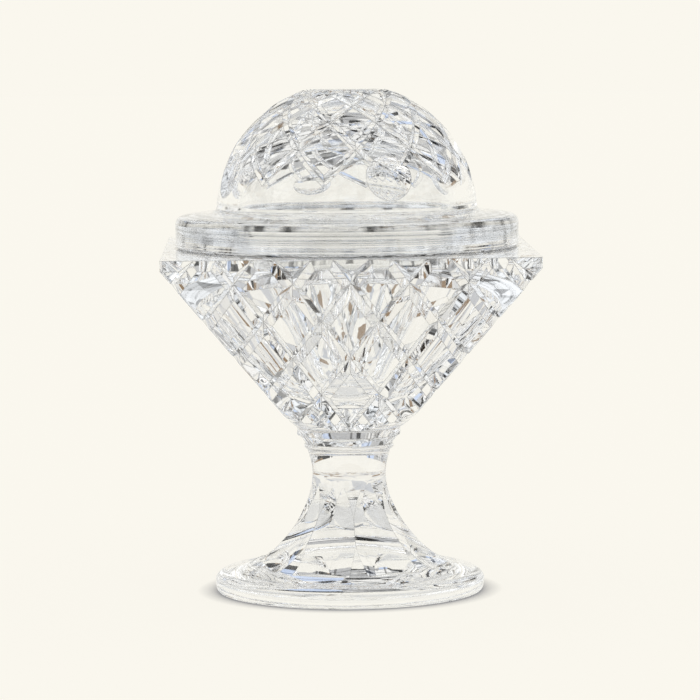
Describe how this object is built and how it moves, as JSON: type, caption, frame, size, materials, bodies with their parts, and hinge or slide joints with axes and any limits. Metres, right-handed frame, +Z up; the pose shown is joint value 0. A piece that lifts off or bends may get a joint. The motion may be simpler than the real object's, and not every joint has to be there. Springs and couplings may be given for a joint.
{
  "type": "powder jar",
  "caption": "Cut-glass powder jar: a square diamond-cut bowl on a fluted foot, with a flanged, domed lid that lifts off.",
  "frame": {"origin": "centre of the foot's underside", "axes": "+Z up through the jar; the bowl's four faces are square to X and Y"},
  "size_m": [0.1092, 0.1092, 0.1504],
  "materials": {
    "crystal": "clear lead crystal, cut and polished"
  },
  "bodies": {
    "jar": {"foot": "crystal", "collar": "crystal", "bowl": "crystal"},
    "lid": {"lid": "crystal"}
  },
  "joints": [
    {"name": "lid_lift", "type": "slide", "parent": "jar", "child": "lid", "axis": [0, 0, 1], "range_m": [0, 0.06]}
  ]
}
